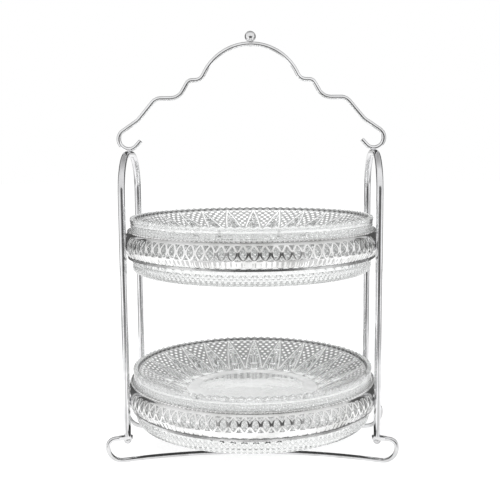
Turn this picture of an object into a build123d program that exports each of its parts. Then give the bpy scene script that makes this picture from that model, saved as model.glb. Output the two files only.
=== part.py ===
from build123d import *
import math
import os

# Two-tier cake stand, in millimetres.
# Origin on the floor under the middle of the stand, +Z up, front towards -Y.
# Two hairpin rods carry two pierced metal galleries, a glass dish drops into each gallery,
# two bowed wires make the feet, and a bent wire handle with a ball joins the hairpins on top.

# Pressed glass dishes
dish_diameter = 220.0
dish_height = 49.0
dish_depth = 23.5
dish_thickness = 6.5
dish_flat_diameter = 122.0
dish_rim_width = 4.8
dish_rim_wall = 2.8
dish_rim_taper = 0.4
dish_lip_height = 3.6
dish_lip_overhang = 0.4
dish_shoulder_height = 15.0
dish_skirt_wall = 5.7
dish_skirt_round = 4.4
dish_hollow_corner = 4.0
dish_slope_blend = 25.0
dish_edge_round = 0.8

# Galleries and what carries the dishes in them
gallery_height = 24.4
gallery_sheet = 0.9
gallery_bulge = 4.9
gallery_gap = 1.2
seat_overlap = 1.0
seat_thickness = 1.6
seat_clearance = 0.4
seat_lip = 0.7
rim_wire_width = 2.2
rim_wire_height = 1.4
rim_wire_bevel = 0.5
piercing_count = 84
piercing_height = 10.6
piercing_width = 4.6
piercing_lift = 2.3

# Heights of the two tiers
lower_dish_z = 29.4
tier_pitch = 137.8

# Hairpin side frames
rod_diameter = 6.0
upright_half_depth = 45.0
arch_top = 275.0
arch_bend_radius = 34.0
rod_seat_depth = 0.3

# Base wires with their scrolled feet
base_wire_diameter = 4.0
base_bow = 19.5
foot_lower_bend = 13.8
foot_upper_bend = 6.6
foot_toe = 3.8
eye_thickness = 3.0
eye_width = 5.2
eye_reach = 4.7
eye_length = 6.0

# Handle, bent from one wire: bend angles in degrees, radii and straight runs
handle_wire_diameter = 4.0
handle_seat_depth = 0.5
crown_radius = 46.5
crown_angle = 64.8
crown_foot_radius = 8.5
upper_step_radius = 5.5
upper_step_angle = 60.0
upper_drop = 7.5
middle_step_radius = 13.0
middle_step = 8.6
lower_step_radius = 10.0
lower_step_angle = 50.0
lower_drop = 17.9
shoulder_radius = 18.0
shoulder_angle = 16.0
shoulder_run = 14.4
curl_radius = 9.0
curl_tip_angle = 48.0
curl_tip = 6.0

# Finial ball on the crown of the handle
ball_diameter = 9.8
ball_seat_depth = 0.6
spigot_diameter = 2.0
spigot_end = 0.4

# Screws
foot_screw_head = 7.0
foot_screw_head_height = 4.2
foot_screw_shank = 2.4
foot_screw_grip = 9.0
gallery_screw_head = 5.0
gallery_screw_head_height = 1.7
gallery_screw_shank = 2.0
gallery_screw_grip = 3.6
screw_head_edge = 0.25
screw_clearance = 0.05
bore_extra_depth = 1.0
land_half_angle = 4.0

# Sizes that follow from the ones above
rim_radius = dish_diameter / 2
wall_radius = rim_radius - dish_lip_overhang
seat_inner_radius = wall_radius - seat_overlap
lower_wall_radius = seat_inner_radius - seat_clearance
gallery_edge_inner = wall_radius + gallery_gap
gallery_edge_outer = gallery_edge_inner + gallery_sheet
gallery_outer = gallery_edge_outer + gallery_bulge
rod_radius = rod_diameter / 2
upright_circle = gallery_outer + rod_radius - rod_seat_depth
upright_half_width = math.sqrt(upright_circle**2 - upright_half_depth**2)
base_wire_radius = base_wire_diameter / 2
arm_height = base_wire_radius + foot_lower_bend + foot_upper_bend
upright_foot = arm_height + eye_thickness / 2
handle_wire_radius = handle_wire_diameter / 2
band_height = gallery_height - seat_thickness - rim_wire_height
lower_seat_z = lower_dish_z + dish_shoulder_height
band_middle_z = lower_seat_z + band_height / 2
screw_seat_thickness = gallery_sheet - screw_clearance
shoulder_heading = lower_step_angle - shoulder_angle

upright_places = [
    (side * upright_half_width, end * upright_half_depth) for side in (-1, 1) for end in (-1, 1)
]


def round_wire(path, diameter):
    """A wire of the given diameter along a smooth path."""
    start = Plane(path @ 0, z_dir=path % 0)
    return sweep(start * Circle(diameter / 2), path=path)


def bend_run(bends, start, heading):
    """Edges of a wire bent in one plane, as a bender makes it.

    Each bend is a straight run, a turn in degrees (left is positive) and its radius.
    Returns the edges, the end point and the end heading.
    """
    edges = []
    place = Vector(*start)
    for run, turn, radius in bends:
        if run > 0:
            ahead = place + Vector(run, 0).rotate(Axis.Z, heading)
            edges.append(Edge.make_line(place, ahead))
            place = ahead
        if turn:
            side = math.copysign(1, turn)
            centre = place + Vector(0, side * radius).rotate(Axis.Z, heading)
            middle = centre + (place - centre).rotate(Axis.Z, turn / 2)
            ahead = centre + (place - centre).rotate(Axis.Z, turn)
            edges.append(Edge.make_three_point_arc(place, middle, ahead))
            place = ahead
            heading = heading + turn
    return edges, place, heading


def dome_screw(head_diameter, head_height, shank_diameter, shank_length):
    """A dome-headed screw: shank up from the origin, head below it."""
    head_radius = head_diameter / 2
    edge = head_height * screw_head_edge
    dome_height = head_height - edge
    dome_radius = (head_radius**2 + dome_height**2) / (2 * dome_height)
    dome_angle = 2 * math.degrees(math.atan2(dome_height, head_radius))
    outline = [
        CenterArc((0, dome_radius - head_height), dome_radius, -90, dome_angle),
        Line((head_radius, -edge), (head_radius, 0)),
        Line((head_radius, 0), (0, 0)),
        Line((0, 0), (0, -head_height)),
    ]
    head = revolve(Plane.XZ * make_face(Curve() + outline), Axis.Z)
    shank = Pos(0, 0, shank_length / 2) * Cylinder(shank_diameter / 2, shank_length)
    return head + shank


def radial_plane(place, radius, height):
    """A plane facing away from the stand's axis, through an upright's place in plan."""
    out = Vector(*place).normalized()
    return Plane((out.X * radius, out.Y * radius, height), z_dir=out)


# Handle: the right half is bent from the crown down to the curl, then mirrored.
# The curl's lowest point rests on the arch, so the upper step takes up the width that is left.
def handle_bends(upper_step):
    curl_start_turn = -(90 - shoulder_heading) - 90
    return [
        (0, -crown_angle, crown_radius),
        (0, crown_angle, crown_foot_radius),
        (upper_step, -upper_step_angle, upper_step_radius),
        (upper_drop, upper_step_angle, middle_step_radius),
        (middle_step, -lower_step_angle, lower_step_radius),
        (lower_drop, shoulder_angle, shoulder_radius),
        (shoulder_run, curl_start_turn, curl_radius),
    ]


_, curl_bottom, _ = bend_run(handle_bends(0), (0, 0), 0)
upper_step = upright_half_width - curl_bottom.X
curl_seat_z = arch_top + handle_wire_radius - handle_seat_depth
crown_z = curl_seat_z - curl_bottom.Y
tip_bends = [(0, -curl_tip_angle, curl_radius), (curl_tip, 0, 0)]
half_edges, _, _ = bend_run(handle_bends(upper_step) + tip_bends, (0, crown_z), 0)
half_wire = Plane.XZ * Wire(half_edges)
right_handle = round_wire(half_wire, handle_wire_diameter)
handle_blank = right_handle + mirror(right_handle, Plane.YZ)

# Finial: a ball saddled on the wire, with a spigot through it that is riveted over below
ball_radius = ball_diameter / 2
ball_z = crown_z + handle_wire_radius + ball_radius - ball_seat_depth
spigot_bottom = crown_z - handle_wire_radius - spigot_end
spigot_length = ball_z - spigot_bottom
spigot_middle = Pos(0, 0, (ball_z + spigot_bottom) / 2)
ball = Pos(0, 0, ball_z) * Sphere(ball_radius) - handle_blank
finial = ball + spigot_middle * Cylinder(spigot_diameter / 2, spigot_length)
spigot_hole_radius = spigot_diameter / 2 + screw_clearance
handle = handle_blank - Pos(0, 0, crown_z) * Cylinder(spigot_hole_radius, 2 * handle_wire_diameter)


# Side frames: a rod bent like a hairpin, bored for the screws and saddled for the handle's curl
def side_frame(side):
    x = side * upright_half_width
    upright_run = arch_top - rod_radius - arch_bend_radius - upright_foot
    top_run = 2 * (upright_half_depth - arch_bend_radius)
    bends = [
        (upright_run, -90, arch_bend_radius),
        (top_run, -90, arch_bend_radius),
        (upright_run, 0, 0),
    ]
    edges, _, _ = bend_run(bends, (-upright_half_depth, upright_foot), 90)
    path = Plane((x, 0, 0), x_dir=(0, 1, 0), z_dir=(1, 0, 0)) * Wire(edges)
    rod = round_wire(path, rod_diameter) - handle_blank
    foot_bore_radius = foot_screw_shank / 2 + screw_clearance
    foot_bore_depth = foot_screw_grip + bore_extra_depth
    for end in (-1, 1):
        place = (x, end * upright_half_depth)
        rod -= Pos(*place, upright_foot + foot_bore_depth / 2) * Cylinder(foot_bore_radius, foot_bore_depth)
        for tier in (0, tier_pitch):
            bore_radius = gallery_screw_shank / 2 + screw_clearance
            bore_depth = gallery_screw_grip + bore_extra_depth
            bore = Pos(0, 0, bore_depth / 2) * Cylinder(bore_radius, bore_depth)
            rod -= radial_plane(place, gallery_outer - rod_seat_depth, band_middle_z + tier) * bore
    return rod


# Base wires: a bow along the floor, a scroll at each end, and a flattened eye under the upright
def base_wire(end):
    bow_radius = (upright_half_width**2 + base_bow**2) / (2 * base_bow)
    splay = math.degrees(math.asin(upright_half_width / bow_radius))
    middle = (0, end * (upright_half_depth - base_bow), base_wire_radius)
    bow_ends = [
        (side * upright_half_width, end * upright_half_depth, base_wire_radius) for side in (-1, 1)
    ]
    bow = Edge.make_three_point_arc(bow_ends[0], middle, bow_ends[1])
    foot_bends = [
        (foot_toe, 90, foot_lower_bend),
        (0, 90, foot_upper_bend),
        (foot_toe + foot_lower_bend - foot_upper_bend - eye_length, 0, 0),
    ]
    foot_edges, _, _ = bend_run(foot_bends, (0, 0), 0)
    feet = []
    eyes = []
    holes = []
    for side in (-1, 1):
        out = Vector(side * math.cos(math.radians(splay)), end * math.sin(math.radians(splay)), 0)
        across = out.cross(Vector(0, 0, 1))
        ground = (side * upright_half_width, end * upright_half_depth, base_wire_radius)
        foot_plane = Plane(ground, x_dir=out, z_dir=across)
        feet.append([foot_plane * edge for edge in foot_edges])
        eye_plane = Plane((ground[0], ground[1], arm_height), x_dir=out)
        round_end = Pos(-eye_reach + eye_width / 2, 0) * Circle(eye_width / 2)
        shank_length = eye_reach - eye_width / 2 + eye_length + base_wire_radius
        shank_middle = -eye_reach + eye_width / 2 + shank_length / 2
        tongue = round_end + Pos(shank_middle, 0) * Rectangle(shank_length, eye_width)
        eyes.append(eye_plane * extrude(tongue, eye_thickness / 2, both=True))
        hole_radius = foot_screw_shank / 2 + screw_clearance
        holes.append(eye_plane * Cylinder(hole_radius, 2 * base_wire_diameter))
    path = Wire(list(reversed(feet[0])) + [bow] + feet[1])
    return round_wire(path, base_wire_diameter) + eyes[0] + eyes[1] - holes[0] - holes[1]


def foot_screws(side):
    length = eye_thickness + foot_screw_grip
    screw = dome_screw(foot_screw_head, foot_screw_head_height, foot_screw_shank, length)
    under_eye = arm_height - eye_thickness / 2
    places = [Pos(side * upright_half_width, end * upright_half_depth, under_eye) for end in (-1, 1)]
    return Compound([place * screw for place in places])


# Gallery of the lower tier: a barrel-shaped band pierced with upright ovals above its middle,
# left whole where it lies against the four uprights and is screwed to them
def gallery_band():
    half = band_height / 2
    top, bottom = half, -half
    outer = ThreePointArc(
        (gallery_edge_outer, bottom), (gallery_outer, 0), (gallery_edge_outer, top)
    )
    inner = ThreePointArc(
        (gallery_edge_inner, top), (gallery_outer - gallery_sheet, 0), (gallery_edge_inner, bottom)
    )
    top_edge = Line((gallery_edge_outer, top), (gallery_edge_inner, top))
    bottom_edge = Line((gallery_edge_inner, bottom), (gallery_edge_outer, bottom))
    section = make_face(Curve() + [outer, top_edge, inner, bottom_edge])
    band = revolve(Plane.XZ * section, Axis.Z)
    oval = extrude(Ellipse(piercing_width / 2, piercing_height / 2), 2 * gallery_bulge, both=True)
    cutters = []
    land_angles = [math.degrees(math.atan2(y, x)) for x, y in upright_places]
    for step in range(piercing_count):
        angle = 360 * (step + 0.5) / piercing_count
        nearest = min(abs((angle - land + 180) % 360 - 180) for land in land_angles)
        if nearest > land_half_angle:
            out = Vector(gallery_outer, 0, 0).rotate(Axis.Z, angle)
            middle = out + Vector(0, 0, piercing_lift)
            cutters.append(Plane(middle, x_dir=out.cross(Vector(0, 0, 1)), z_dir=out) * oval)
    screw_hole = Cylinder(gallery_screw_shank / 2 + screw_clearance, 4 * gallery_sheet)
    spot_radius = gallery_screw_head / 2 + screw_clearance
    spot_face = Pos(0, 0, -gallery_sheet) * Cylinder(spot_radius, 2 * gallery_sheet)
    for place in upright_places:
        cutters.append(Pos(*place, 0) * Cylinder(rod_radius, gallery_height))
        cutters.append(radial_plane(place, gallery_outer, 0) * screw_hole)
        cutters.append(radial_plane(place, gallery_outer - screw_seat_thickness, 0) * spot_face)
    return Pos(0, 0, band_middle_z) * (band - cutters)


def gallery_screws():
    length = screw_seat_thickness - rod_seat_depth + gallery_screw_grip
    screw = dome_screw(gallery_screw_head, gallery_screw_head_height, gallery_screw_shank, length)
    seat_radius = gallery_outer - screw_seat_thickness
    return Compound([radial_plane(place, seat_radius, band_middle_z) * screw for place in upright_places])


# Flat wire with bevelled shoulders along the top edge of the band
def rim_wire():
    middle = (gallery_edge_inner + gallery_edge_outer) / 2
    section = Pos(middle, rim_wire_height / 2) * Rectangle(rim_wire_width, rim_wire_height)
    shoulders = section.vertices().group_by(Axis.Y)[-1]
    section = chamfer(shoulders, rim_wire_bevel)
    return Pos(0, 0, lower_seat_z + band_height) * revolve(Plane.XZ * section, Axis.Z)


# Flat ring under the band, whose inner edge carries the dish's shoulder
def seat_ring():
    outer = gallery_edge_outer + seat_lip
    section = Pos((seat_inner_radius + outer) / 2, -seat_thickness / 2) * Rectangle(
        outer - seat_inner_radius, seat_thickness
    )
    return Pos(0, 0, lower_seat_z) * revolve(Plane.XZ * section, Axis.Z)


# Dish: a shallow pressed-glass plate on a deep skirt, whose shoulder outside rests on the seat ring
def dish():
    lip_z = dish_height - dish_lip_height
    flat_radius = dish_flat_diameter / 2
    floor_z = dish_height - dish_depth
    rim_inner = rim_radius - dish_rim_width
    slope_top = (rim_inner - dish_rim_taper, dish_height - dish_rim_wall)
    slope = (slope_top[1] - floor_z) / (slope_top[0] - flat_radius)
    under_z = floor_z - dish_thickness
    skirt_inner = lower_wall_radius - dish_skirt_wall
    hollow_top = under_z + slope * (skirt_inner - flat_radius)
    section = make_face(
        Polyline(
            (0, under_z),
            (flat_radius, under_z),
            (skirt_inner, hollow_top),
            (skirt_inner, 0),
            (lower_wall_radius, 0),
            (lower_wall_radius, dish_shoulder_height),
            (wall_radius, dish_shoulder_height),
            (wall_radius, lip_z),
            (rim_radius, lip_z + dish_lip_overhang),
            (rim_radius, dish_height),
            (rim_inner, dish_height),
            slope_top,
            (flat_radius, floor_z),
            (0, floor_z),
            close=True,
        )
    )

    def corner(radius, height):
        return section.vertices().sort_by_distance((radius, height, 0))[0]

    section = fillet(corner(lower_wall_radius, 0), dish_skirt_round)
    section = fillet(corner(skirt_inner, 0), dish_edge_round)
    section = fillet(corner(skirt_inner, hollow_top), dish_hollow_corner)
    section = fillet(corner(flat_radius, under_z), dish_slope_blend)
    section = fillet(corner(flat_radius, floor_z), dish_slope_blend)
    section = fillet(corner(*slope_top), dish_edge_round)
    section = fillet([corner(rim_radius, dish_height), corner(rim_inner, dish_height)], dish_edge_round)
    return Pos(0, 0, lower_dish_z) * revolve(Plane.XZ * section, Axis.Z)


lower_tier = {
    "gallery": gallery_band(),
    "rim_wire": rim_wire(),
    "seat_ring": seat_ring(),
    "gallery_screws": gallery_screws(),
    "dish": dish(),
}

pieces = {
    "left_side_frame": side_frame(-1),
    "right_side_frame": side_frame(1),
    "handle": handle,
    "finial": finial,
    "front_base_wire": base_wire(-1),
    "back_base_wire": base_wire(1),
    "left_foot_screws": foot_screws(-1),
    "right_foot_screws": foot_screws(1),
}
for tier_name, lift in (("lower", 0), ("upper", tier_pitch)):
    for piece_name, shape in lower_tier.items():
        pieces[f"{tier_name}_{piece_name}"] = Pos(0, 0, lift) * shape

os.makedirs("parts", exist_ok=True)
for name, shape in pieces.items():
    export_step(shape, f"parts/{name}.step")
print("handle crown height", round(crown_z, 2), "ball top", round(ball_z + ball_radius, 2))
print("upright at", round(upright_half_width, 2), "upper step", round(upper_step, 2))
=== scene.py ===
import math
import bpy
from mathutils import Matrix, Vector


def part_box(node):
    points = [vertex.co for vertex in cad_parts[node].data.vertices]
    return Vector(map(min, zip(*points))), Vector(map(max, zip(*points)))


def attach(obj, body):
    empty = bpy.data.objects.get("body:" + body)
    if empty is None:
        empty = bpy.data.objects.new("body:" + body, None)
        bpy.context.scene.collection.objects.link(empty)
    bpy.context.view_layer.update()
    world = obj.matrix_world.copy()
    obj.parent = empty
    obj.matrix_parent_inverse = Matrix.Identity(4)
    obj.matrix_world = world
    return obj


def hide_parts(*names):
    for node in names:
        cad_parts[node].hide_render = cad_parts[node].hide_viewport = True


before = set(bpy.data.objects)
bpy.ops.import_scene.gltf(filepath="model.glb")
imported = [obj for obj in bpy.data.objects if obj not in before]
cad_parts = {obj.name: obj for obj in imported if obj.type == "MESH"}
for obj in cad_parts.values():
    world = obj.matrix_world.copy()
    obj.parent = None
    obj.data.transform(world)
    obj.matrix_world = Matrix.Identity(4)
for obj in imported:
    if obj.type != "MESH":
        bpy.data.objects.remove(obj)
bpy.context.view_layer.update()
bpy.ops.object.select_all(action="DESELECT")


# Base wires. Two bowed wires lie on the table, front and back, and rise at each end in a scrolled foot.
# They are drawn brass wire, silver plated and buffed, so the plate is bright with faint cloudy wear.
def colour_ramp(nodes, low, low_colour, high, high_colour):
    """A ramp that runs from one colour to another between two values."""
    ramp = nodes.new("ShaderNodeValToRGB")
    first, last = ramp.color_ramp.elements
    first.position = low
    first.color = (*low_colour, 1)
    last.position = high
    last.color = (*high_colour, 1)
    return ramp


def plated_finish(name, bright, worn, gloss, dull, grain):
    """Silver plate between two colours and two roughnesses, with fine lines that grain stretches."""
    finish = bpy.data.materials.new(name)
    finish.use_nodes = True
    nodes = finish.node_tree.nodes
    links = finish.node_tree.links
    metal = nodes["Principled BSDF"]
    metal.inputs["Metallic"].default_value = 1.0
    place = nodes.new("ShaderNodeTexCoord")
    cloud = nodes.new("ShaderNodeTexNoise")
    cloud.inputs["Scale"].default_value = 38.0
    cloud.inputs["Detail"].default_value = 5.0
    cloud.inputs["Roughness"].default_value = 0.6
    links.new(place.outputs["Object"], cloud.inputs["Vector"])
    tone = colour_ramp(nodes, 0.34, worn, 0.58, bright)
    links.new(cloud.outputs["Fac"], tone.inputs["Fac"])
    links.new(tone.outputs["Color"], metal.inputs["Base Color"])
    buff = nodes.new("ShaderNodeMapRange")
    buff.inputs["From Min"].default_value = 0.3
    buff.inputs["From Max"].default_value = 0.7
    buff.inputs["To Min"].default_value = dull
    buff.inputs["To Max"].default_value = gloss
    links.new(cloud.outputs["Fac"], buff.inputs["Value"])
    links.new(buff.outputs["Result"], metal.inputs["Roughness"])
    stretch = nodes.new("ShaderNodeMapping")
    stretch.inputs["Scale"].default_value = grain
    links.new(place.outputs["Object"], stretch.inputs["Vector"])
    lines = nodes.new("ShaderNodeTexNoise")
    lines.inputs["Scale"].default_value = 900.0
    lines.inputs["Detail"].default_value = 2.0
    links.new(stretch.outputs["Vector"], lines.inputs["Vector"])
    scratch = nodes.new("ShaderNodeBump")
    scratch.inputs["Strength"].default_value = 0.06
    scratch.inputs["Distance"].default_value = 0.0003
    links.new(lines.outputs["Fac"], scratch.inputs["Height"])
    links.new(scratch.outputs["Normal"], metal.inputs["Normal"])
    return finish


def coat(piece, finish):
    piece.data.materials.clear()
    piece.data.materials.append(finish)


wire_plate = plated_finish(
    "wire_plate", bright=(0.74, 0.74, 0.75), worn=(0.54, 0.54, 0.54),
    gloss=0.07, dull=0.17, grain=(1, 1, 1),
)
for node in ("front_base_wire", "back_base_wire"):
    coat(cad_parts[node], wire_plate)


# Side frames. Each is one stout rod bent like a hairpin, its arch on top and both feet on the base wires.
# The rod was drawn lengthwise, so its plate keeps faint upright lines under the polish.
rod_plate = plated_finish(
    "rod_plate", bright=(0.82, 0.82, 0.83), worn=(0.64, 0.64, 0.65),
    gloss=0.06, dull=0.16, grain=(1, 1, 0.04),
)
for node in ("left_side_frame", "right_side_frame"):
    coat(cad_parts[node], rod_plate)


# Foot screws. Dome-headed screws go up through the flattened eyes of the base wires into the rods.
# Their heads are turned and polished, a little duller than the rods, and their plate is painted darker as a
# painted shade for the shade below the heads.
screw_plate_with_painted_shade = plated_finish(
    "screw_plate_with_painted_shade", bright=(0.68, 0.68, 0.69), worn=(0.46, 0.46, 0.46),
    gloss=0.1, dull=0.24, grain=(1, 1, 0.3),
)
for node in ("left_foot_screws", "right_foot_screws"):
    coat(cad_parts[node], screw_plate_with_painted_shade)


# Seat rings. A flat turned ring under each gallery carries the shoulder of the glass dish.
# It is plated sheet, soldered to the gallery's lower edge, and its plate is painted dark grey as a painted
# shade for the shadow under the band.
seat_plate_with_painted_shade = plated_finish(
    "seat_plate_with_painted_shade", bright=(0.62, 0.62, 0.62), worn=(0.3, 0.3, 0.3),
    gloss=0.12, dull=0.3, grain=(1, 1, 0.2),
)
for node in ("lower_seat_ring", "upper_seat_ring"):
    coat(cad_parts[node], seat_plate_with_painted_shade)


# Galleries. Each is a barrel-shaped band of plated sheet, pierced with pointed ovals and small triangles
# that leave a crossing lattice over a fluted lower part with a scalloped edge.
# The sheet stays whole at the four uprights, where it is screwed to the rods.
GALLERY_STEPS = 84
STEP = 0.0085
STEP_ANGLE = 2 * math.pi / GALLERY_STEPS
HALF_BAND = 0.0107
BARREL_RADIUS = 0.1166
EDGE_RADIUS = 0.1117
SHEET = 0.0009
CUT_EDGE = 0.0003
SHARP_CUT = math.radians(50)
OVAL_MIDDLE = 0.0023
OVAL_HALF_HEIGHT = 0.0054
OVAL_HALF_WIDTH = 0.0025
NOTCH_POINT = 0.0016
NOTCH_BASE = 0.006
NOTCH_WIDTH = 0.0024
FLUTE_TOP = -0.0042
FLUTE_HALF_DEPTH = 0.00035
FLUTE_RUN_IN = 0.0012
FLUTE_RUN_OUT = 0.0016
SCALLOP_TOP = -0.0089
SCALLOP_HALF_WIDTH = 0.0033
SCALLOP_HEIGHT = 0.0014
UPRIGHT = (0.11049, 0.045)
ROD_RADIUS = 0.003
LAND_HALF_ANGLE = math.radians(4)
WELD_REACH = 0.00001
TIER_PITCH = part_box("upper_gallery")[0][2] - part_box("lower_gallery")[0][2]


def pick(*pieces):
    """Select these pieces and no others, the first as the active one."""
    bpy.ops.object.select_all(action="DESELECT")
    for piece in pieces:
        piece.select_set(True)
    bpy.context.view_layer.objects.active = pieces[0]


def weld(outward=False):
    """Merge the doubled points of the active piece, and turn its faces outward where asked."""
    bpy.ops.object.mode_set(mode="EDIT")
    bpy.ops.mesh.select_all(action="SELECT")
    bpy.ops.mesh.remove_doubles(threshold=WELD_REACH)
    if outward:
        bpy.ops.mesh.normals_make_consistent(inside=False)
    bpy.ops.object.mode_set(mode="OBJECT")


def join_pieces(pieces, name):
    pick(*pieces)
    bpy.ops.object.join()
    joined = bpy.context.object
    joined.name = name
    weld()
    return joined


def upper_copy(name):
    """Copy the active piece of the lower tier to its place in the upper tier."""
    bpy.ops.object.duplicate()
    copy = bpy.context.object
    copy.name = name
    bpy.ops.transform.translate(value=(0, 0, TIER_PITCH))
    bpy.ops.object.transform_apply(location=True)
    return copy


def shaped_grid(columns, levels, left, right):
    """A flat sheet with a row at each level, between two edges that change with the level."""
    bpy.ops.mesh.primitive_grid_add(x_subdivisions=columns, y_subdivisions=len(levels) - 1, size=2)
    sheet = bpy.context.object
    for vertex in sheet.data.vertices:
        row = round((vertex.co.y + 1) / 2 * (len(levels) - 1))
        across = (vertex.co.x + 1) / 2
        level = levels[row]
        start = left(level)
        vertex.co = (start + (right(level) - start) * across, 0, level)
    return sheet


def lattice_unit(pierced):
    """One step of the band laid flat, with or without its oval and its triangles."""
    def oval_edge(level):
        reach = (level - OVAL_MIDDLE) / OVAL_HALF_HEIGHT
        return OVAL_HALF_WIDTH * max(0, 1 - reach * reach) if pierced else 0

    def notch_edge(level):
        reach = (abs(level - OVAL_MIDDLE) - NOTCH_POINT) / (NOTCH_BASE - NOTCH_POINT)
        return STEP / 2 - (NOTCH_WIDTH * min(1, max(0, reach)) if pierced else 0)

    notch_top = OVAL_MIDDLE + NOTCH_BASE
    notch_bottom = OVAL_MIDDLE - NOTCH_BASE
    strap_rows = [-1, -0.9, -0.8, -0.66, -0.5, -0.267, 0, 0.267, 0.5, 0.66, 0.8, 0.9, 1]
    upper_rows = [notch_top, 0.0089, 0.0095, 0.0101, HALF_BAND]
    lower_rows = [-HALF_BAND, -0.0098, SCALLOP_TOP, -0.008, -0.0071, -0.0062, -0.0053, -0.0045, notch_bottom]
    parts = [shaped_grid(3, [OVAL_MIDDLE + NOTCH_BASE * row for row in strap_rows], oval_edge, notch_edge)]
    inner = notch_edge(notch_top)
    for levels in (upper_rows, lower_rows):
        parts.append(shaped_grid(3, levels, lambda level: 0, lambda level: inner))
        if pierced:
            parts.append(shaped_grid(2, levels, lambda level: inner, lambda level: STEP / 2))
    unit = join_pieces(parts, "lattice_unit")
    mirror = unit.modifiers.new("both_halves", "MIRROR")
    mirror.merge_threshold = WELD_REACH
    bpy.ops.object.modifier_apply(modifier=mirror.name)
    return unit


def flute_depth(across, level):
    """How deep the flutes of the lower part lie below the barrel, two to each step."""
    run_in = max(0, (FLUTE_TOP - level) / FLUTE_RUN_IN)
    run_out = max(0, (level + HALF_BAND) / FLUTE_RUN_OUT)
    return FLUTE_HALF_DEPTH * min(1, run_in, run_out) * (1 - math.cos(4 * math.pi * across / STEP))


def turn_from(land, angle):
    """The angle from an upright's land, between minus and plus half a turn."""
    return (angle - land + math.pi) % (2 * math.pi) - math.pi


pierced_unit = lattice_unit(True)
whole_unit = lattice_unit(False)
land_angles = [math.atan2(y * UPRIGHT[1], x * UPRIGHT[0]) for x in (-1, 1) for y in (-1, 1)]
run = []
for step in range(GALLERY_STEPS):
    angle = (step + 0.5) * STEP_ANGLE
    nearest = min(abs(turn_from(land, angle)) for land in land_angles)
    pick(pierced_unit if nearest > LAND_HALF_ANGLE else whole_unit)
    bpy.ops.object.duplicate()
    bpy.ops.transform.translate(value=((step + 0.5) * STEP, 0, 0))
    bpy.ops.object.transform_apply(location=True)
    run.append(bpy.context.object)
bpy.data.objects.remove(pierced_unit)
bpy.data.objects.remove(whole_unit)
lower_gallery_sheet = join_pieces(run, "lower_gallery_sheet")
bulge = BARREL_RADIUS - EDGE_RADIUS
barrel_curve = (HALF_BAND**2 + bulge**2) / (2 * bulge)
rod_axis = math.hypot(*UPRIGHT)
lower_band_middle = sum(corner[2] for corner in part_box("lower_gallery")) / 2
for vertex in lower_gallery_sheet.data.vertices:
    angle = vertex.co.x / STEP * STEP_ANGLE
    across = vertex.co.x % STEP - STEP / 2
    level = vertex.co.z
    if level < SCALLOP_TOP:
        arch = SCALLOP_HEIGHT * max(0, 1 - (across / SCALLOP_HALF_WIDTH) ** 2)
        level += arch * (SCALLOP_TOP - level) / (HALF_BAND + SCALLOP_TOP)
    radius = BARREL_RADIUS - barrel_curve + math.sqrt(barrel_curve**2 - level**2) - flute_depth(across, level)
    for land in land_angles:
        off = turn_from(land, angle)
        side = rod_axis * math.sin(off)
        if abs(off) < 1 and abs(side) < ROD_RADIUS:
            radius = min(radius, rod_axis * math.cos(off) - math.sqrt(ROD_RADIUS**2 - side**2))
    vertex.co = (radius * math.cos(angle), radius * math.sin(angle), lower_band_middle + level)
weld(outward=True)
wall = lower_gallery_sheet.modifiers.new("sheet", "SOLIDIFY")
wall.thickness = SHEET
wall.offset = -1
bpy.ops.object.modifier_apply(modifier=wall.name)
burr = lower_gallery_sheet.modifiers.new("cut_edges", "BEVEL")
burr.width = CUT_EDGE
burr.segments = 2
burr.limit_method = "ANGLE"
burr.angle_limit = SHARP_CUT
bpy.ops.object.modifier_apply(modifier=burr.name)
bpy.ops.object.shade_smooth_by_angle(angle=SHARP_CUT)
gallery_plate = plated_finish(
    "gallery_plate", bright=(0.88, 0.88, 0.88), worn=(0.66, 0.66, 0.65),
    gloss=0.07, dull=0.2, grain=(1, 1, 0.5),
)
coat(lower_gallery_sheet, gallery_plate)
upper_gallery_sheet = upper_copy("upper_gallery_sheet")
for piece, node in ((lower_gallery_sheet, "lower_gallery"), (upper_gallery_sheet, "upper_gallery")):
    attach(piece, "stand")
    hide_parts(node)


# Rim wires and gallery screws. A wire rolled with a row of small beads stiffens each gallery's upper edge,
# and four dome-headed screws from inside hold each gallery to the rods. Both are plated like the band.
BEADS = 168
BEAD_COLUMNS = 6
BEAD_CUT = 0.0008
BEAD_WIDTH = 0.0019
BEAD_FOOT = 0.0003
WIRE_WIDTH = 0.0022
WIRE_HEIGHT = 0.0014
wire_near, wire_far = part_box("lower_rim_wire")
wire_section = [(-WIRE_WIDTH, 0), (-0.0011, 0), (0, 0), (0, BEAD_FOOT), (0, 0.0006), (0, 0.0009)]
wire_section += [(-0.00025, 0.00115), (-0.0005, WIRE_HEIGHT), (-0.0011, WIRE_HEIGHT)]
wire_section += [(-0.0017, WIRE_HEIGHT), (-WIRE_WIDTH, 0.0009), (-WIRE_WIDTH, 0)]
wire_rows = len(wire_section) - 1
bpy.ops.object.select_all(action="DESELECT")
bpy.ops.mesh.primitive_grid_add(x_subdivisions=BEADS * BEAD_COLUMNS, y_subdivisions=wire_rows, size=2)
lower_beaded_wire = bpy.context.object
lower_beaded_wire.name = "lower_beaded_wire"
for vertex in lower_beaded_wire.data.vertices:
    angle = math.pi * (vertex.co.x + 1)
    inset, rise = wire_section[round((vertex.co.y + 1) / 2 * wire_rows)]
    exposed = max(0, 1 + inset / BEAD_WIDTH) * min(1, rise / BEAD_FOOT)
    cut = BEAD_CUT * exposed * (1 - abs(math.sin(angle * BEADS / 2)))
    radius = wire_far[0] + inset - cut
    level = wire_near[2] + rise - cut * rise / WIRE_HEIGHT
    vertex.co = (radius * math.cos(angle), radius * math.sin(angle), level)
weld(outward=True)
bpy.ops.object.shade_smooth_by_angle(angle=math.radians(40))
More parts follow.
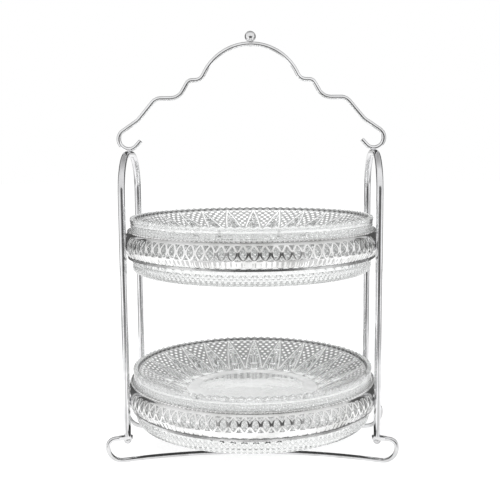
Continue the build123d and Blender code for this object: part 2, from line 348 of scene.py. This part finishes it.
rim_plate = plated_finish(
    "rim_plate", bright=(0.83, 0.83, 0.83), worn=(0.62, 0.62, 0.61),
    gloss=0.09, dull=0.22, grain=(1, 1, 0.2),
)
coat(lower_beaded_wire, rim_plate)
upper_beaded_wire = upper_copy("upper_beaded_wire")
for piece, node in ((lower_beaded_wire, "lower_rim_wire"), (upper_beaded_wire, "upper_rim_wire")):
    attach(piece, "stand")
    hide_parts(node)
# The gallery screws take the screw plate too, with its painted shade.
for node in ("lower_gallery_screws", "upper_gallery_screws"):
    coat(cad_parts[node], screw_plate_with_painted_shade)


# Dishes. Each is a heavy plate of clear pressed glass with a deep skirt that drops into the gallery.
# The mould gave it a toothed rim, a star of long spears with fields of small studs between them under
# the sloping border, and rows of studs, scallops and diamonds round the skirt.
SECTORS = 24
SECTOR_COLUMNS = 24
SECTOR_ANGLE = 2 * math.pi / SECTORS
TEETH = 4
STUDS = 4
WALL_POINTS = 6
WALL_SCALLOPS = 3
DISH_TOP = 0.049
RIM_RADIUS = 0.11
RIM_FOOT = 0.0454
TOOTH_DEPTH = 0.0013
WALL_RADIUS = 0.1096
WALL_ROW = 0.00067
SHOULDER = 0.015
FOOT_RADIUS = 0.1082
FOOT_ROW = 0.001
SKIRT_INNER = 0.1025
FLOOR_LEVEL = 0.0255
UNDER_LEVEL = 0.019
FLAT_RADIUS = 0.061
SLOPE = (0.0462 - FLOOR_LEVEL) / (0.1048 - FLAT_RADIUS)
HOLLOW_EDGE = 0.0968
STAR_ROW = 0.00088
STAR_OUTER = 0.0966
STAR_INNER = 0.0635
STAR_RUN_OUT = 0.002
SPEAR_HEIGHT = 0.0018
LEAF_DEPTH = 0.0016
LEAF_RADIUS = 0.0725
LEAF_HALF_LENGTH = 0.006
LEAF_HALF_WIDTH = 0.3
STUD_PITCH = 0.00352
STUD_HEIGHT = 0.0013
WALL_STUD_TOP = 0.0428
WALL_STUD_FOOT = 0.0374
WALL_STUD_PITCH = 0.00268
WALL_DIAMOND_TOP = 0.0366
WALL_DIAMOND_FOOT = 0.0165
WALL_DIAMOND_PITCH = 0.00402
WALL_SCALLOP_TOP = 0.0142
WALL_SCALLOP_FOOT = 0.009
WALL_SCALLOP_RISE = 0.0044
FOOT_DIAMOND_TOP = 0.0089
FOOT_DIAMOND_PITCH = 0.004
FOOT_RUN_OUT = 0.001
FOOT_EDGE = 0.0001
lower_dish_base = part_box("lower_dish")[0][2]


def slope_rise(radius):
    return SLOPE * (radius - FLAT_RADIUS)


# The outline runs from the floor over the rim, down the outside, and back under the slope to the middle.
floor_line = [(0.04, FLOOR_LEVEL), (0.0554, FLOOR_LEVEL), (0.0582, 0.02566)]
floor_line += [(0.0609, 0.02612), (0.0635, 0.02686)]
slope_line = [(radius, FLOOR_LEVEL + slope_rise(radius)) for radius in (0.066, 0.075, 0.085, 0.095, 0.1041)]
lip_line = [(0.1047, 0.0465), (0.1049, 0.0473), (0.1051, 0.0484), (0.1056, 0.0489), (0.1064, DISH_TOP)]
rim_line = [(0.1074, DISH_TOP), (0.1084, DISH_TOP), (0.1092, DISH_TOP), (0.1098, 0.0486)]
rim_line += [(RIM_RADIUS, 0.048), (RIM_RADIUS, 0.0474), (RIM_RADIUS, 0.0466), (RIM_RADIUS, 0.0458)]
rim_line += [(WALL_RADIUS, RIM_FOOT)]
wall_line = [(WALL_RADIUS, RIM_FOOT - WALL_ROW * row) for row in range(1, 45)]
wall_line += [(WALL_RADIUS, 0.0153), (WALL_RADIUS, SHOULDER), (0.1093, SHOULDER)]
wall_line += [(0.1085, SHOULDER), (FOOT_RADIUS, SHOULDER), (FOOT_RADIUS, 0.0146)]
foot_line = [(FOOT_RADIUS, 0.0139 - FOOT_ROW * row) for row in range(10)]
foot_line += [(FOOT_RADIUS, 0.0044), (0.10803, 0.0032), (0.10751, 0.0021), (0.10668, 0.00118)]
foot_line += [(0.10555, 0.00045), (0.1045, FOOT_EDGE), (0.1038, 0), (0.1033, 0), (0.1027, 0.00024)]
foot_line += [(SKIRT_INNER, 0.0008)]
hollow_line = [(SKIRT_INNER, 0.01), (SKIRT_INNER, 0.022), (SKIRT_INNER, 0.0321), (0.102, 0.03404)]
hollow_line += [(0.1006, 0.0355), (0.0987, 0.0361), (HOLLOW_EDGE, 0.0357)]
star_radii = [HOLLOW_EDGE - STAR_ROW * row for row in range(1, 36)]
star_line = [(radius, UNDER_LEVEL + slope_rise(radius)) for radius in star_radii]
bottom_line = [(radius, level - FLOOR_LEVEL + UNDER_LEVEL) for radius, level in reversed(floor_line)]
inside_line = floor_line + slope_line + lip_line
outside_line = wall_line + foot_line
dish_line = inside_line + rim_line + outside_line + hollow_line + star_line + bottom_line


def stud(across, along):
    """Height of a four-sided point, from nought at its border to one at its tip."""
    return 1 - max(abs(across - math.floor(across) - 0.5), abs(along - math.floor(along) - 0.5)) * 2


def diamond(across, along):
    """The same for a point that stands on its corner."""
    return stud(across + along, across - along)


def spear_edge(radius):
    """Half the width of a spear of the star, as a share of the sector."""
    return 0.5 * min(1, max(0, (STAR_OUTER - radius) / (STAR_OUTER - STAR_INNER)))


def star_relief(turn, radius):
    """How far the mould's star stands below the sloping underside."""
    if not STAR_INNER < radius < STAR_OUTER:
        return 0
    edge = spear_edge(radius)
    side = abs(turn)
    run_out = min(1, (STAR_OUTER - radius) / STAR_RUN_OUT, (radius - STAR_INNER) / STAR_RUN_OUT)
    if side < edge:
        leaf = ((radius - LEAF_RADIUS) / LEAF_HALF_LENGTH) ** 2 + (side / LEAF_HALF_WIDTH) ** 2
        height = SPEAR_HEIGHT * (1 - side / edge) - LEAF_DEPTH * max(0, 1 - leaf)
    else:
        along = (STAR_OUTER - radius) / STUD_PITCH
        height = STUD_HEIGHT * stud(turn * STUDS + 0.5 * (math.floor(along) % 2), along)
    return run_out * height


def rim_cut(turn):
    """Depth of the notches between the teeth of the rim, from nought at a tip to one at a root."""
    return 1 - abs(turn * TEETH - math.floor(turn * TEETH) - 0.5) * 2


def wall_cut(turn, level):
    """Depth of the skirt's rows of studs, scallops and diamonds, and the painted shade in each hollow, with
    painted milky light above the studs.
    """
    depth, grey, hollow = 0, 0, 1
    if level > WALL_STUD_TOP:
        grey = -0.35
    elif level > WALL_STUD_FOOT:
        depth, grey = 0.0005, 0.45
        hollow = 1 - stud(turn * WALL_POINTS + 0.5, (WALL_STUD_TOP - level) / WALL_STUD_PITCH)
    elif WALL_DIAMOND_FOOT < level < WALL_DIAMOND_TOP:
        depth, grey = 0.0006, 0.5
        hollow = 1 - diamond(turn * WALL_POINTS, (WALL_DIAMOND_TOP - level) / WALL_DIAMOND_PITCH)
    elif WALL_SCALLOP_FOOT < level < WALL_SCALLOP_TOP:
        depth, grey = 0.0006, 0.2
        across = turn * WALL_SCALLOPS - math.floor(turn * WALL_SCALLOPS) - 0.5
        arch = math.hypot(across / 0.5, (level - WALL_SCALLOP_FOOT) / WALL_SCALLOP_RISE)
        hollow = max(0, 1 - abs(arch - 0.85) / 0.3)
    elif FOOT_EDGE < level < WALL_SCALLOP_FOOT:
        depth, grey = 0.0009, 0.45
        hollow = 1 - diamond(turn * WALL_POINTS, (FOOT_DIAMOND_TOP - level) / FOOT_DIAMOND_PITCH)
        hollow *= min(1, level / FOOT_RUN_OUT)
    return depth * hollow, grey * hollow


# One sector is cut in a grid. Its painted tone, read by the glass below, is painted shade above nought and
# painted milky light below.
bpy.ops.object.select_all(action="DESELECT")
bpy.ops.mesh.primitive_grid_add(x_subdivisions=SECTOR_COLUMNS, y_subdivisions=len(dish_line) - 1, size=2)
sector = bpy.context.object
painted_light_and_shade = sector.data.attributes.new("painted_light_and_shade", "FLOAT", "POINT")
rim_rows = range(len(floor_line + slope_line), len(inside_line + rim_line) - 1)
outer_rows = range(len(inside_line + rim_line), len(inside_line + rim_line + outside_line))
star_rows = range(len(dish_line) - len(star_line + bottom_line), len(dish_line))
for vertex in sector.data.vertices:
    turn = vertex.co.x / 2
    row = round((vertex.co.y + 1) / 2 * (len(dish_line) - 1))
    radius, level = dish_line[row]
    grey = 0
    # Painted shade on the rim: grey on its top, dark grey deepest in the notches on its inner face, and
    # painted milky light on its outer face.
    if row in rim_rows:
        notch = rim_cut(turn)
        if level == DISH_TOP:
            grey = 0.25
        elif row < len(inside_line):
            grey = 0.75 + 0.25 * notch
        else:
            grey = -0.12
        level -= TOOTH_DEPTH * notch * max(0, level - RIM_FOOT) / (DISH_TOP - RIM_FOOT)
    if row in outer_rows:
        hollow, grey = wall_cut(turn, level)
        radius -= hollow
    if row in star_rows:
        edge = spear_edge(radius)
        if abs(abs(turn) - edge) < 0.5 / SECTOR_COLUMNS:
            turn = math.copysign(edge, turn)
        level -= star_relief(turn, radius)
    angle = turn * SECTOR_ANGLE
    vertex.co = (radius * math.cos(angle), radius * math.sin(angle), lower_dish_base + level)
    painted_light_and_shade.data[vertex.index].value = grey
sectors = [sector]
for step in range(1, SECTORS):
    pick(sector)
    bpy.ops.object.duplicate()
    copy = bpy.context.object
    angle = step * SECTOR_ANGLE
    for vertex in copy.data.vertices:
        x, y, z = vertex.co
        vertex.co = (x * math.cos(angle) - y * math.sin(angle), x * math.sin(angle) + y * math.cos(angle), z)
    sectors.append(copy)
lower_dish_glass = join_pieces(sectors, "lower_dish_glass")
bpy.ops.object.mode_set(mode="EDIT")
bpy.ops.mesh.select_all(action="DESELECT")
bpy.ops.mesh.select_non_manifold()
bpy.ops.mesh.edge_face_add()
bpy.ops.mesh.select_all(action="SELECT")
bpy.ops.mesh.normals_make_consistent(inside=False)
bpy.ops.object.mode_set(mode="OBJECT")
bpy.ops.object.shade_smooth_by_angle(angle=math.radians(24))

pressed_glass = bpy.data.materials.new("clear_pressed_glass")
pressed_glass.use_nodes = True
nodes = pressed_glass.node_tree.nodes
links = pressed_glass.node_tree.links
glass = nodes["Principled BSDF"]
glass.inputs["IOR"].default_value = 1.5
place = nodes.new("ShaderNodeTexCoord")
smear = nodes.new("ShaderNodeTexNoise")
smear.inputs["Scale"].default_value = 45.0
smear.inputs["Detail"].default_value = 4.0
links.new(place.outputs["Object"], smear.inputs["Vector"])
polish = nodes.new("ShaderNodeMapRange")
polish.inputs["To Min"].default_value = 0.0
polish.inputs["To Max"].default_value = 0.05
links.new(smear.outputs["Fac"], polish.inputs["Value"])
links.new(polish.outputs["Result"], glass.inputs["Roughness"])
ripple = nodes.new("ShaderNodeBump")
ripple.inputs["Strength"].default_value = 0.08
ripple.inputs["Distance"].default_value = 0.0008
links.new(smear.outputs["Fac"], ripple.inputs["Height"])
links.new(ripple.outputs["Normal"], glass.inputs["Normal"])


def calc(operation, *terms, clamp=False):
    """One step of arithmetic in the glass material."""
    tree = pressed_glass.node_tree
    step = tree.nodes.new("ShaderNodeMath")
    step.operation = operation
    step.use_clamp = clamp
    for socket, term in zip(step.inputs, terms):
        if isinstance(term, (int, float)):
            socket.default_value = term
        else:
            tree.links.new(term, socket)
    return step.outputs["Value"]


def fade(value, nought, one):
    """A straight ramp that reaches nought at one value and one at the other, and stays there beyond them."""
    steepness = 1 / (one - nought)
    return calc("MULTIPLY_ADD", value, steepness, -nought * steepness, clamp=True)


def times(first, *others):
    for other in others:
        first = calc("MULTIPLY", first, other)
    return first


def largest(first, *others):
    for other in others:
        first = calc("MAXIMUM", first, other)
    return first


# Where a point lies: its radius, and its gap from the edge of the nearest spear, less than nought inside it.
spot = nodes.new("ShaderNodeSeparateXYZ")
links.new(place.outputs["Object"], spot.inputs["Vector"])
x = spot.outputs["X"]
y = spot.outputs["Y"]
radius = calc("SQRT", calc("ADD", times(x, x), times(y, y)))
sector_turn = calc("MULTIPLY_ADD", calc("ARCTAN2", y, x), 1 / SECTOR_ANGLE, 0.5)
side = calc("ABSOLUTE", calc("SUBTRACT", calc("FRACT", sector_turn), 0.5))
edge = times(fade(radius, 0.10353, 0.06151), 0.5)
gap = times(calc("SUBTRACT", side, edge), radius, SECTOR_ANGLE)
border = times(fade(radius, 0.10416, 0.10336), fade(radius, 0.062, 0.064))

# Painted highlights: white lines edge the spears, and painted grey shade fills the fields between them, with
# painted white highlights on the tips of the studs.
painted_spear_lines = times(fade(calc("ABSOLUTE", gap), 0.00095, 0.00045), border, 0.8)
painted_field_shade = times(fade(gap, 0, 0.0004), border)
along = calc("MULTIPLY_ADD", radius, -1 / STUD_PITCH, STAR_OUTER / STUD_PITCH)
offset = calc("FRACT", times(calc("FLOOR", along), 0.5))
across = calc("FRACT", calc("MULTIPLY_ADD", sector_turn, STUDS, offset))
across = times(calc("SUBTRACT", across, 0.5), 1.3)
along = calc("SUBTRACT", calc("FRACT", along), 0.5)
off_tip = calc("SQRT", calc("ADD", times(across, across), times(along, along)))
tip = times(fade(off_tip, 0.44545, 0.26364), painted_field_shade, fade(gap, 0.0014667, 0.0021333))
bright = largest(painted_spear_lines, tip)

# The flat floor gets painted light: a faint pale veil in soft patches, stronger towards its edge.
disc = fade(radius, 0.062, 0.06)
painted_disc_light = calc("MULTIPLY_ADD", fade(smear.outputs["Fac"], 0.48333, 0.65), 0.18, 0.2)
painted_disc_light = calc("ADD", painted_disc_light, times(fade(radius, 0.047143, 0.061429), 0.5))
painted_disc_patches = times(painted_disc_light, disc)

# The mesh says where the sunk parts of the mould get painted grey shade or painted milky light, and the rim
# gets a painted dark edge where it is seen edge on.
mould = nodes.new("ShaderNodeAttribute")
mould.attribute_name = "painted_light_and_shade"
painted_relief_tone = mould.outputs["Fac"]
facing = nodes.new("ShaderNodeLayerWeight")
face = nodes.new("ShaderNodeNewGeometry")
tilt = nodes.new("ShaderNodeSeparateXYZ")
links.new(face.outputs["True Normal"], tilt.inputs["Vector"])
steep = fade(calc("ABSOLUTE", tilt.outputs["Z"]), 0.5, 0)
painted_rim_shade = times(fade(facing.outputs["Facing"], 0.7, 0.786957), fade(radius, 0.1075, 0.108), steep, 0.8)
painted_milky_light = times(calc("LESS_THAN", painted_relief_tone, 0), 0.9, fade(painted_rim_shade, 0.769231, 0))

# The veil is how much of this painted light and shade covers the clear glass, on its air side, and the shade
# is its colour.
painted_veil = calc("MULTIPLY_ADD", painted_field_shade, 0.62, times(border, 0.05))
painted_veil = largest(painted_veil, times(bright, 0.95), painted_disc_patches, calc("ABSOLUTE", painted_relief_tone), painted_rim_shade)
painted_veil = times(painted_veil, calc("SUBTRACT", 1, face.outputs["Backfacing"]))
shade = largest(bright, calc("MULTIPLY_ADD", disc, 0.8, 0.06), painted_milky_light)
tint = nodes.new("ShaderNodeMix")
tint.data_type = "RGBA"
tint.inputs["A"].default_value = (0.93, 0.94, 0.936, 1)
links.new(painted_veil, tint.inputs["Factor"])
links.new(shade, tint.inputs["B"])
links.new(tint.outputs["Result"], glass.inputs["Base Color"])
links.new(calc("SUBTRACT", 1, painted_veil), glass.inputs["Transmission Weight"])
coat(lower_dish_glass, pressed_glass)
upper_dish_glass = upper_copy("upper_dish_glass")
for piece, body in ((lower_dish_glass, "lower_dish"), (upper_dish_glass, "upper_dish")):
    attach(piece, body)
    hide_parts(body)


# Handle and finial. One wire is bent in steps from the crown to a curl on each arch, and a small ball
# is riveted on the crown. Both are buffed brighter than the rest, where hands keep them clean.
grip_plate = plated_finish(
    "grip_plate", bright=(0.85, 0.85, 0.86), worn=(0.7, 0.7, 0.7),
    gloss=0.05, dull=0.13, grain=(1, 1, 1),
)
for node in ("handle", "finial"):
    coat(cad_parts[node], grip_plate)


# Studio. A white table runs into a white room, under one broad soft lamp and a weaker one by the camera.
# Grey and dark cards round the stand, which only reflections see, draw the dark lines on the polished metal.
FLOOR_CARD_LIFT = 0.001
bpy.ops.object.select_all(action="DESELECT")
bpy.ops.mesh.primitive_plane_add(size=12.0)
table = bpy.context.object
table.name = "table"
table_white = bpy.data.materials.new("table_white")
table_white.use_nodes = True
nodes = table_white.node_tree.nodes
links = table_white.node_tree.links
nodes.clear()
surface = nodes.new("ShaderNodeOutputMaterial")
together = nodes.new("ShaderNodeAddShader")
paper = nodes.new("ShaderNodeBsdfDiffuse")
paper.inputs["Color"].default_value = (0.3, 0.3, 0.3, 1)
glow = nodes.new("ShaderNodeEmission")
glow.inputs["Strength"].default_value = 0.82
links.new(paper.outputs["BSDF"], together.inputs[0])
links.new(glow.outputs["Emission"], together.inputs[1])
links.new(together.outputs["Shader"], surface.inputs["Surface"])
table.data.materials.append(table_white)


def standing(left, right, foot, top):
    """Corners of an upright card between two places on the table."""
    return (*left, foot), (*right, foot), (*left, top), (*right, top)


def lying(*places, level=FLOOR_CARD_LIFT):
    """Corners of a level card, the near pair first."""
    return [(*place, level) for place in places]


def reflected_card(name, grey, corners):
    bpy.ops.mesh.primitive_plane_add(size=1.0)
    card = bpy.context.object
    card.name = name
    for vertex, corner in zip(card.data.vertices, corners):
        vertex.co = corner
    card.visible_camera = False
    card.visible_diffuse = False
    card.visible_transmission = False
    card.visible_shadow = False
    card_tone = bpy.data.materials.new(name + "_tone")
    card_tone.use_nodes = True
    paint = card_tone.node_tree.nodes["Principled BSDF"]
    paint.inputs["Base Color"].default_value = (grey, grey, grey, 1)
    paint.inputs["Roughness"].default_value = 1.0
    card.data.materials.append(card_tone)


reflected_card("wide_front_card", 0.36, standing((-0.5, -0.76), (0.85, -0.76), 0, 0.45))
reflected_card("front_card", 0.09, standing((-0.2, -0.75), (0.5, -0.75), 0, 0.45))
reflected_card("floor_card", 0.15, lying((-0.4, -0.75), (0.7, -0.75), (-0.25, -0.4), (0.5, -0.4)))
reflected_card("left_near_card", 0.5, lying((-0.3, -0.4), (-0.07, -0.4), (-0.22, -0.1), (-0.09, -0.1)))
reflected_card("right_near_card", 0.5, lying((0.08, -0.4), (0.4, -0.4), (0.09, -0.1), (0.25, -0.1)))
reflected_card("left_floor_card", 0.35, lying((-1.3, -0.3), (-0.5, -0.3), (-1.3, 0.3), (-0.5, 0.3)))
reflected_card("right_floor_card", 0.35, lying((0.5, -0.3), (1.3, -0.3), (0.5, 0.3), (1.3, 0.3)))
under_dish = lying((-0.1, -0.072), (0.1, -0.072), (-0.1, -0.006), (0.1, -0.006), level=0.02)
reflected_card("base_card", 0.05, under_dish)
reflected_card("left_card", 0.06, standing((-1.25, 0.34), (-0.49, 1.2), 0, 0.9))
reflected_card("right_card", 0.06, standing((0.49, 1.2), (1.25, 0.34), 0, 0.9))
reflected_card("back_card", 0.06, standing((-0.49, 1.25), (0.49, 1.25), 0.42, 1.7))

# The camera sees a white room. Reflections see it darken high at the back, and glass shows it a little grey.
room = bpy.data.worlds.new("white_room")
bpy.context.scene.world = room
room.use_nodes = True
nodes = room.node_tree.nodes
links = room.node_tree.links
air = nodes["Background"]
air.inputs["Strength"].default_value = 1.0
direction = nodes.new("ShaderNodeTexCoord")
high_at_back = nodes.new("ShaderNodeVectorMath")
high_at_back.operation = "DOT_PRODUCT"
high_at_back.inputs[1].default_value = (0, 0.66, 0.75)
links.new(direction.outputs["Generated"], high_at_back.inputs[0])
reflected_room = colour_ramp(nodes, 0.35, (1, 1, 1), 0.95, (0.42, 0.42, 0.42))
links.new(high_at_back.outputs["Value"], reflected_room.inputs["Fac"])
height = nodes.new("ShaderNodeSeparateXYZ")
links.new(direction.outputs["Generated"], height.inputs["Vector"])
room_through_glass = colour_ramp(nodes, 0.02, (1, 1, 1), 0.2, (0.8, 0.8, 0.8))
links.new(height.outputs["Z"], room_through_glass.inputs["Fac"])
ray = nodes.new("ShaderNodeLightPath")
indirect_view = nodes.new("ShaderNodeMix")
indirect_view.data_type = "RGBA"
links.new(ray.outputs["Is Transmission Ray"], indirect_view.inputs["Factor"])
links.new(reflected_room.outputs["Color"], indirect_view.inputs["A"])
links.new(room_through_glass.outputs["Color"], indirect_view.inputs["B"])
view = nodes.new("ShaderNodeMix")
view.data_type = "RGBA"
view.inputs["B"].default_value = (1, 1, 1, 1)
links.new(ray.outputs["Is Camera Ray"], view.inputs["Factor"])
links.new(indirect_view.outputs["Result"], view.inputs["A"])
links.new(view.outputs["Result"], air.inputs["Color"])


def soft_lamp(place, tilt, size, watts):
    bpy.ops.object.light_add(type="AREA", location=place)
    lamp = bpy.context.object
    lamp.rotation_euler = [math.radians(angle) for angle in tilt]
    lamp.data.shape = "DISK"
    lamp.data.size = size
    lamp.data.energy = watts
    lamp.visible_glossy = False
    return lamp


soft_lamp(place=(-0.5, -0.3, 1.5), tilt=(-12, -18, 0), size=0.9, watts=15.0)
fill = soft_lamp(place=(0.3, -1.0, 0.55), tilt=(68, 0, 17), size=0.5, watts=7.0)
fill.visible_transmission = False

CAMERA_PLACE = (0.01549, -0.75286, 0.27631)
LOOK_DOWN = math.radians(6.972)
CAMERA_ROLL = math.radians(0.407)
CAMERA_TURN = math.radians(1.245)
SENSOR_WIDTH = 36
FOCAL_PIXELS = 827.8165
PICTURE_PIXELS = 500
bpy.ops.object.camera_add(location=CAMERA_PLACE, rotation=(math.pi / 2 - LOOK_DOWN, CAMERA_ROLL, CAMERA_TURN))
camera = bpy.context.object
camera.data.sensor_width = SENSOR_WIDTH
camera.data.lens = SENSOR_WIDTH * FOCAL_PIXELS / PICTURE_PIXELS
camera.data.clip_start = 0.01
bpy.context.scene.camera = camera
bpy.context.scene.view_settings.view_transform = "Standard"
bpy.context.scene.cycles.max_bounces = 24
bpy.context.scene.cycles.glossy_bounces = 16
bpy.context.scene.cycles.transmission_bounces = 24
